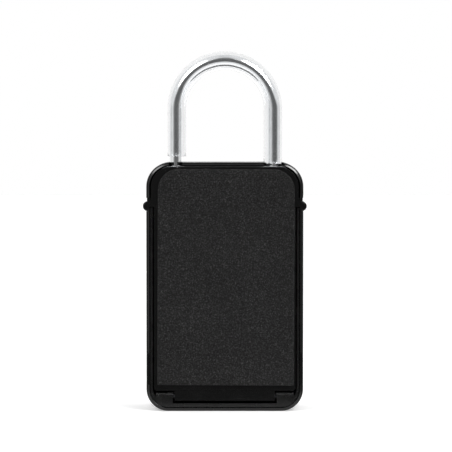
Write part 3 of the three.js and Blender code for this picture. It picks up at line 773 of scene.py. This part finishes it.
def foam_pad():
    """A die-cut foam sheet: soft edges, a barely crowned face and an uneven skin."""
    half = DOOR_HALF - PAD_BORDER
    low, high = DOOR_BOTTOM + SILL, DOOR_TOP - PAD_TOP_GAP
    centre = (low + high) / 2
    pad = foam_blank(half, low, high)
    tilt = Matrix.Rotation(math.radians(PAD_TILT), 4, "Y")
    shift = middle(pad_x) * MM
    for vertex in pad.data.vertices:
        x, y, z = vertex.co.x / MM, vertex.co.y / MM, vertex.co.z / MM
        if y < middle(pad_y):
            y -= foam_rise(Vector((x, y, z)), min(half - abs(x), z - low, high - z))
        turned = tilt @ Vector((x, 0, z - centre))
        vertex.co = Vector((turned.x * MM + shift, max(y, pad_y[0]) * MM, (turned.z + centre) * MM))
    smooth(pad, 180)
    settle(pad, "door", "foam", "foam_pad")
    return pad


# ------------------------------------------------------------------ shackle

def arch_path(left_end, right_end, leg_steps=8, arc_steps=96):
    """Points up the left leg, over the arch and down the right leg."""
    up = [(-LEG_X, ROD_Y, left_end + (ARCH_Z - left_end) * k / leg_steps) for k in range(leg_steps)]
    turns = [math.pi * k / arc_steps for k in range(arc_steps + 1)]
    over = [(-LEG_X * math.cos(turn), ROD_Y, ARCH_Z + LEG_X * math.sin(turn)) for turn in turns]
    down = [(LEG_X, ROD_Y, ARCH_Z - (ARCH_Z - right_end) * k / leg_steps) for k in range(1, leg_steps + 1)]
    return up + over + down


def shackle_rod():
    neck = (LEG_BOTTOM + HEAD_HEIGHT, BLOCK_BOTTOM)
    profile = [(0.0, 1.9), (0.25, 2.4), (0.7, 2.8), (1.1, ROD_RADIUS), (HEAD_HEIGHT - 0.2, ROD_RADIUS),
               (HEAD_HEIGHT, ROD_RADIUS - 0.2), (HEAD_HEIGHT + 0.01, NECK_RADIUS + 0.15),
               (HEAD_HEIGHT + 0.2, NECK_RADIUS), (neck[1] - LEG_BOTTOM - 0.2, NECK_RADIUS),
               (neck[1] - LEG_BOTTOM, NECK_RADIUS + 0.2), (neck[1] - LEG_BOTTOM + 0.01, ROD_RADIUS - 0.25),
               (neck[1] - LEG_BOTTOM + 0.3, ROD_RADIUS)]
    start = LEG_BOTTOM + profile[-1][0]
    main = arch_path(start, start)
    left = [(-LEG_X, ROD_Y, LEG_BOTTOM + height) for height, _ in profile[:-1]]
    right = [(LEG_X, ROD_Y, LEG_BOTTOM + height) for height, _ in reversed(profile[:-1])]
    ends = [radius for _, radius in profile[:-1]]
    shackle = tube("shackle_rod", left + main + right, ends + [ROD_RADIUS] * len(main) + ends[::-1], 56)
    smooth(shackle, 40)
    return settle(shackle, "shackle", "shackle_chrome", "shackle")


def hollow_tube(name, path, outer, inner, sides=48):
    """A pipe along path with its two cut ends slightly rounded."""
    path = [Vector(p) for p in path]
    count = len(path)
    tangents = [(path[min(k + 1, count - 1)] - path[max(k - 1, 0)]).normalized() for k in range(count)]
    across = Vector((0, 1, 0))
    angles = [2 * math.pi * k / sides for k in range(sides)]

    def ring(k, radius, shift=0.0):
        other = tangents[k].cross(across)
        centre = path[k] + tangents[k] * shift
        return [tuple(centre + (across * math.cos(a) + other * math.sin(a)) * radius) for a in angles]

    last = count - 1
    rings = [ring(0, outer - 0.25), ring(0, outer - 0.07, 0.07), ring(0, outer, 0.25)]
    rings += [ring(k, outer) for k in range(1, last)]
    rings += [ring(last, outer, -0.25), ring(last, outer - 0.07, -0.07), ring(last, outer - 0.25)]
    rings += [ring(last, inner + 0.15), ring(last, inner, -0.15)]
    rings += [ring(k, inner) for k in range(last - 1, 0, -1)]
    rings += [ring(0, inner, 0.15), ring(0, inner + 0.15)]
    return loft(name, rings, closed=True)


def vinyl_sleeve():
    """A loose clear tube over the arch; its legs hang a little inwards."""
    left_end, right_end = TOP + SLEEVE_LIFT, sleeve_z[0]
    path = []
    for x, y, z in arch_path(left_end, right_end):
        lean = SLEEVE_LEAN * min(1.0, max(0.0, (ARCH_Z + LEG_X - z) / LEG_X))
        path.append((x - math.copysign(lean, x) if abs(x) > 0.01 else x, y, z))
    sleeve = hollow_tube("shackle_sleeve_tube", path, SLEEVE_RADIUS, SLEEVE_BORE)
    smooth(sleeve, 40)
    return settle(sleeve, "shackle", "clear_vinyl", "shackle_sleeve")


# ------------------------------------------------------------------ springs and screws

def coil(name, start, axis, radius, length, body, node, turns=COIL_TURNS):
    """A compression spring with its two end turns closed up."""
    axis = Vector(axis)
    side = Vector((0, 0, 1)) if abs(axis.z) < 0.5 else Vector((1, 0, 0))
    other = axis.cross(side)
    steps = 26 * turns
    path = []
    for k in range(steps + 1):
        t = k / steps
        turn = 2 * math.pi * turns * t
        rise = WIRE_RADIUS + (length - 2 * WIRE_RADIUS) * eased(t, turns)
        spoke = (side * math.cos(turn) + other * math.sin(turn)) * radius
        path.append(tuple(Vector(start) + axis * rise + spoke))
    spring = tube(name, path, [WIRE_RADIUS] * len(path), 12)
    smooth(spring, 60)
    return settle(spring, body, "spring_steel", node)


def eased(t, turns):
    """Rise along a coil: the first and last turn lie flat, the rest climb evenly."""
    flat = 0.8 / turns
    if t < flat:
        return 0.04 * t / flat
    if t > 1 - flat:
        return 1 - 0.04 * (1 - t) / flat
    return 0.04 + 0.92 * (t - flat) / (1 - 2 * flat)


def screw(node, axis, size, recess=True):
    """A pan-head screw with a cross recess, in the place of its CAD node."""
    low, high = [Vector(v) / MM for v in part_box(node)]
    axis = Vector(axis)
    centre = (low + high) / 2
    length = abs((high - low).dot(axis))
    top = centre - axis * length / 2
    shank, r, h = size
    head = [(0.02, 0), (0.45 * r, 0.03 * h), (0.75 * r, 0.16 * h), (0.94 * r, 0.42 * h), (r, 0.7 * h),
            (r, h - 0.05), (r - 0.05, h), (shank + 0.05, h), (shank, h + 0.1)]
    thread = []
    pitch = 0.7
    turns = int((length - h - 1.2) / pitch)
    for k in range(turns):
        z = h + 0.4 + k * pitch
        thread += [(shank * 0.86, z), (shank, z + pitch * 0.35), (shank * 0.86, z + pitch * 0.7)]
    tip = [(shank * 0.86, length - 0.6), (shank * 0.5, length)]
    obj = spun(f"{node}_turned", head + thread + tip, top, axis, 40)
    if recess:
        side = Vector((0, 0, 1)) if abs(axis.z) < 0.5 else Vector((1, 0, 0))
        other = axis.cross(side)
        for first, second in ((side, other), (other, side)):
            start, half_wide = top - axis * 0.5, 0.28 * r / 2 + 0.12
            cut(obj, bar("recess", start, axis, first, second, r * 0.62, half_wide, 0.5 + h * 0.62))
    smooth(obj, 35)
    return settle(obj, NODE_BODY[node], "zinc_plated_steel", node)


def bar(name, start, axis, first, second, half_long, half_wide, depth):
    """A small block along axis, used for a driver recess."""
    corners = [(1, 1), (-1, 1), (-1, -1), (1, -1)]
    rings = []
    for height, taper in ((0, 1.0), (depth, 0.75)):
        centre = start + axis * height
        rings.append([tuple(centre + first * a * half_long * taper + second * b * half_wide * taper)
                      for a, b in corners])
    return loft(name, rings)


# ------------------------------------------------------------------ dials

def dial_profile():
    """Ten flat-topped ridges, one for each digit, with a rounded valley between."""
    step = 2 * math.pi / DIGITS
    points = []
    for digit in range(DIGITS):
        centre = digit * step
        for k in range(-3, 4):
            points.append((DIAL_RADIUS, centre + k / 3 * RIDGE_SHARE * step))
        for share, depth in ((0.40, 0.28), (0.45, 0.5), (0.5, 0.58), (0.55, 0.5), (0.60, 0.28)):
            points.append((DIAL_RADIUS - depth, centre + share * step))
    return points


def number_dial(index):
    x = DIAL_X[index]
    profile = dial_profile()
    rim = 0.35
    rings = []
    for offset, inset in ((-DIAL_WIDTH / 2, rim), (-DIAL_WIDTH / 2 + rim * 0.3, rim * 0.3),
                          (-DIAL_WIDTH / 2 + rim, 0), (DIAL_WIDTH / 2 - rim, 0),
                          (DIAL_WIDTH / 2 - rim * 0.3, rim * 0.3), (DIAL_WIDTH / 2, rim)):
        rings.append([(x + offset, DIAL_Y + (r - inset) * math.cos(a), DIAL_Z + (r - inset) * math.sin(a))
                      for r, a in profile])
    dial = loft(f"number_dial_{index + 1}", rings)
    cut(dial, rod("bore", 2.3, (x - DIAL_WIDTH, DIAL_Y, DIAL_Z), (x + DIAL_WIDTH, DIAL_Y, DIAL_Z), 40))
    smooth(dial, 38)
    settle(dial, f"dial_{index + 1}", "dial_plastic", f"dial_{index + 1}")
    return dial


def text_mesh(digit):
    """One digit in the built-in typeface, slightly raised."""
    text = bpy.data.curves.new("digit", "FONT")
    text.body = str(digit)
    text.align_x = "CENTER"
    text.align_y = "CENTER"
    text.size = DIGIT_SIZE
    text.extrude = 0.05
    text.resolution_u = 6
    obj = bpy.data.objects.new("digit", text)
    scene.collection.objects.link(obj)
    bpy.context.view_layer.update()
    mesh = bpy.data.meshes.new_from_object(obj.evaluated_get(bpy.context.evaluated_depsgraph_get()))
    bpy.data.objects.remove(obj)
    return mesh


def digit_mesh(digit):
    """One raised digit, centred, as points (across, up, out) and faces."""
    shape = bmesh.new()
    shape.from_mesh(text_mesh(digit))
    bmesh.ops.remove_doubles(shape, verts=shape.verts, dist=0.0005)
    for k in range(-5, 6):
        geometry = shape.verts[:] + shape.edges[:] + shape.faces[:]
        bmesh.ops.bisect_plane(shape, geom=geometry, plane_co=(0, k * 0.35, 0), plane_no=(0, 1, 0),
                               dist=0.001)
    bmesh.ops.triangulate(shape, faces=shape.faces)
    points = [tuple(v.co) for v in shape.verts]
    faces = [tuple(v.index for v in f.verts) for f in shape.faces]
    shape.free()
    heights = [p[1] for p in points]
    widths = [p[0] for p in points]
    up, across = (min(heights) + max(heights)) / 2, (min(widths) + max(widths)) / 2
    return [(a - across, b - up, c) for a, b, c in points], faces


def dial_digits(index, shapes):
    """The digits 0 to 9 wrapped round a dial, 0 in the window at rest."""
    vertices, faces = [], []
    for digit, (points, polygons) in enumerate(shapes):
        base = len(vertices)
        for across, up, out in points:
            angle = up / DIAL_RADIUS - digit * 2 * math.pi / DIGITS
            radius = DIAL_RADIUS + 0.01 + out
            vertices.append((DIAL_X[index] - across, DIAL_Y + radius * math.cos(angle),
                             DIAL_Z + radius * math.sin(angle)))
        faces += [tuple(base + k for k in polygon) for polygon in polygons]
    obj = mesh_object(f"dial_digits_{index + 1}", vertices, faces)
    smooth(obj, 30)
    return settle(obj, f"dial_{index + 1}", "digit_paint")


# ------------------------------------------------------------------ release button

def release_button():
    x, y, z = button_box
    plate = prism("release_slider", outline(x[1], z[0], z[1], 3, 3, 8), FRONT + 0.3, y[1] - 0.3)
    ribs = [rod("rib", 0.55, (-7, y[1] - 0.55, BUTTON_Z + rise), (7, y[1] - 0.55, BUTTON_Z + rise), 20)
            for rise in (-4, -2, 0, 2, 4)]
    stem = box("stem", (-STEM_HALF, STEM_HALF), (y[0], FRONT + 0.6),
               (BUTTON_Z - STEM_HEIGHT / 2, BUTTON_Z + STEM_HEIGHT / 2))
    join(plate, stem, *ribs)
    cut(plate, rod("screw_hole", 1.7, (0, y[0] - 1, BUTTON_Z), (0, y[0] + 9, BUTTON_Z), 24))
    soften(plate, 0.25, 3)
    return settle(plate, "release", "shell_plastic", "release_button")


# ------------------------------------------------------------------ build

def build_case():
    outer_shell()
    refined("inner_frame", "frame_plastic", 0.18)
    refined("shackle_block", "die_cast_zinc", 0.2)
    refined("hinge_pin", "black_steel", 0.15)
    refined("dial_cage", "zinc_plated_steel", 0.12)
    refined("detent_spring", "spring_steel", 0.05)
    for index in (1, 2):
        screw(f"block_screw_{index}", (0, 1, 0), BLOCK_SCREW)
        screw(f"frame_screw_{index}", (0, 1, 0), FRAME_SCREW)
        screw(f"guide_screw_{index}", (0, 0, 1), GUIDE_SCREW)


def build_door():
    back_door()
    foam_pad()
    for side in ("right", "left"):
        refined(f"strike_{side}", "zinc_plated_steel", 0.12)
        screw(f"strike_rivet_{side}", (0, -1, 0), STRIKE_RIVET, recess=False)


def build_shackle():
    shackle_rod()
    vinyl_sleeve()
    refined("lock_bar", "zinc_plated_steel", 0.12)
    x, y, z = span("lock_bar_spring")
    coil("lock_bar_coil", (x[0], middle(y), middle(z)), (1, 0, 0), LOCK_COIL_RADIUS, x[1] - x[0],
         "case", "lock_bar_spring")


def build_dials():
    shapes = [digit_mesh(digit) for digit in range(DIGITS)]
    for index in range(4):
        number_dial(index)
        dial_digits(index, shapes)
        refined(f"code_ring_{index + 1}", "ring_brass", 0.15)
    refined("dial_spindle", "zinc_plated_steel", 0.15)
    refined("reset_lever", "zinc_plated_steel", 0.12)


def build_release():
    release_button()
    refined("latch_plate", "zinc_plated_steel", 0.12)
    refined("fence_bar", "zinc_plated_steel", 0.12)
    screw("button_screw", (0, 1, 0), BUTTON_SCREW)
    x, y, z = span("latch_spring")
    coil("latch_coil", (middle(x), middle(y), z[0]), (0, 0, 1), LATCH_COIL_RADIUS, z[1] - z[0],
         NODE_BODY["latch_spring"], "latch_spring")


# ------------------------------------------------------------------ studio

FLOOR_REACH = 4000
FLOOR_FRONT = -40
FLOOR_NEAR = -190
FLOOR_GLOW = 0.27

KEY_RIGHT = (0.65, -0.77, 0.80)
KEY_LEFT = (-0.65, -0.77, 0.80)
KEY_TARGET = (0, 0, 0.08)
KEY_SIZE = 0.6
KEY_RIGHT_POWER = 7.5
KEY_LEFT_POWER = 3.8
GLOW_EDGE = math.cos(math.radians(17))
GLOW_FULL = math.cos(math.radians(8))
GLOW_RIGHT = 24.0
GLOW_LEFT = 9.0

GAP_DIRECTION = (0.22, -1.0, 0.05)
GAP_SHADES = [(0.0, 0.97), (0.36, 0.92), (0.5, 0.66), (0.6, 0.9), (0.71, 0.88), (0.86, 0.35), (0.94, 0.15)]
TABLE_START, TABLE_FULL = -0.24, -0.40
SHOULDER_START, SHOULDER_FULL = 0.05, 0.15
TABLE_WHITE = (0.95, 0.95, 0.95, 1)

SENSOR_WIDTH = 36.0
CAMERA_DISTANCE = 1.2
CAMERA_RISE = 0.048
CAMERA_TARGET = (0.0006, -0.017, 0.0927)
FRAME_WIDTH = 0.2254


def floor():
    """Pale paper. The strip in front is left out of mirror reflections, as a dark table edge would be."""
    nodes = Nodes("floor_paper")
    grain = nodes.noise(2.0, 4.0)
    nodes.link(nodes.ramp(grain, [(0.3, 0.93), (0.7, 0.95)]), nodes.shader.inputs["Base Color"])
    nodes.set(Roughness=0.9, Specular_IOR_Level=0.1, Emission_Color=(1, 1, 1, 1),
              Emission_Strength=FLOOR_GLOW)
    reach = FLOOR_REACH
    for name, low, high in (("floor", FLOOR_FRONT, reach), ("floor_front", FLOOR_NEAR, FLOOR_FRONT)):
        corners = [(-reach, low, 0), (reach, low, 0), (reach, high, 0), (-reach, high, 0)]
        obj = mesh_object(name, corners, [(0, 1, 2, 3)])
        obj.data.materials.append(nodes.material)
        obj.visible_glossy = name == "floor"


def glow(tree, direction, glossy, place, strength):
    """The reflection of one round softbox with a soft edge, seen in shiny surfaces only."""
    disc = tree.span(tree.facing(direction, place), 0.0, 1.0, GLOW_EDGE, GLOW_FULL)
    return tree.math("MULTIPLY", tree.math("MULTIPLY", disc, strength), glossy)


def surroundings(tree, direction, glossy):
    """Dim in front of the object, pale elsewhere; shiny surfaces also see pale upper corners."""
    around = tree.span(tree.facing(direction, GAP_DIRECTION), 0.0, 1.0, -1.0, 1.0)
    shades = tree.ramp(around, GAP_SHADES)
    parts = tree.add("ShaderNodeSeparateXYZ")
    tree.link(direction, parts.inputs["Vector"])
    below = tree.span(parts.outputs["Z"], 0.0, 1.0, TABLE_START, TABLE_FULL)
    corner = tree.math("MULTIPLY", tree.math("ABSOLUTE", parts.outputs["X"]), parts.outputs["Z"])
    shoulders = tree.span(corner, 0.0, 1.0, SHOULDER_START, SHOULDER_FULL)
    bright = tree.math("MAXIMUM", below, tree.math("MULTIPLY", shoulders, glossy))
    return tree.mixed("MIX", bright, shades, TABLE_WHITE)


def sky():
    """White all round for the eye; for the light, a dim gap in front of the object."""
    world = bpy.data.worlds.new("studio")
    world.use_nodes = True
    scene.world = world
    world.node_tree.nodes.clear()
    tree = Tree(world.node_tree)
    path = tree.add("ShaderNodeLightPath")
    glossy = path.outputs["Is Glossy Ray"]
    direction = tree.add("ShaderNodeTexCoord").outputs["Generated"]
    lit = tree.add("ShaderNodeBackground")
    tree.link(surroundings(tree, direction, glossy), lit.inputs["Color"])
    strength = 1.0
    for place, power in ((KEY_RIGHT, GLOW_RIGHT), (KEY_LEFT, GLOW_LEFT)):
        strength = tree.math("ADD", strength, glow(tree, direction, glossy, place, power))
    tree.link(strength, lit.inputs["Strength"])
    seen = tree.add("ShaderNodeBackground")
    seen.inputs["Color"].default_value = (1, 1, 1, 1)
    mix = tree.add("ShaderNodeMixShader")
    tree.link(path.outputs["Is Camera Ray"], mix.inputs["Fac"])
    tree.link(lit.outputs["Background"], mix.inputs[1])
    tree.link(seen.outputs["Background"], mix.inputs[2])
    tree.link(mix.outputs["Shader"], tree.add("ShaderNodeOutputWorld").inputs["Surface"])


def area_light(name, place, power):
    data = bpy.data.lights.new(name, "AREA")
    data.shape = "DISK"
    data.size = KEY_SIZE
    data.energy = power
    light = bpy.data.objects.new(name, data)
    light.location = place
    direction = Vector(KEY_TARGET) - Vector(place)
    light.rotation_euler = direction.to_track_quat("-Z", "Y").to_euler()
    light.visible_glossy = False
    scene.collection.objects.link(light)


def camera():
    data = bpy.data.cameras.new("camera")
    data.sensor_width = SENSOR_WIDTH
    data.clip_start = 0.02
    eye = bpy.data.objects.new("camera", data)
    scene.collection.objects.link(eye)
    scene.camera = eye
    target = Vector(CAMERA_TARGET)
    eye.location = Vector((target.x, target.y - CAMERA_DISTANCE, target.z + CAMERA_RISE))
    direction = target - eye.location
    eye.rotation_euler = direction.to_track_quat("-Z", "Y").to_euler()
    data.lens = SENSOR_WIDTH * direction.length / FRAME_WIDTH
    scene.view_settings.view_transform = "Standard"


def studio():
    floor()
    sky()
    area_light("key_right", KEY_RIGHT, KEY_RIGHT_POWER)
    area_light("key_left", KEY_LEFT, KEY_LEFT_POWER)
    camera()


build_case()
build_door()
build_shackle()
build_dials()
build_release()
studio()
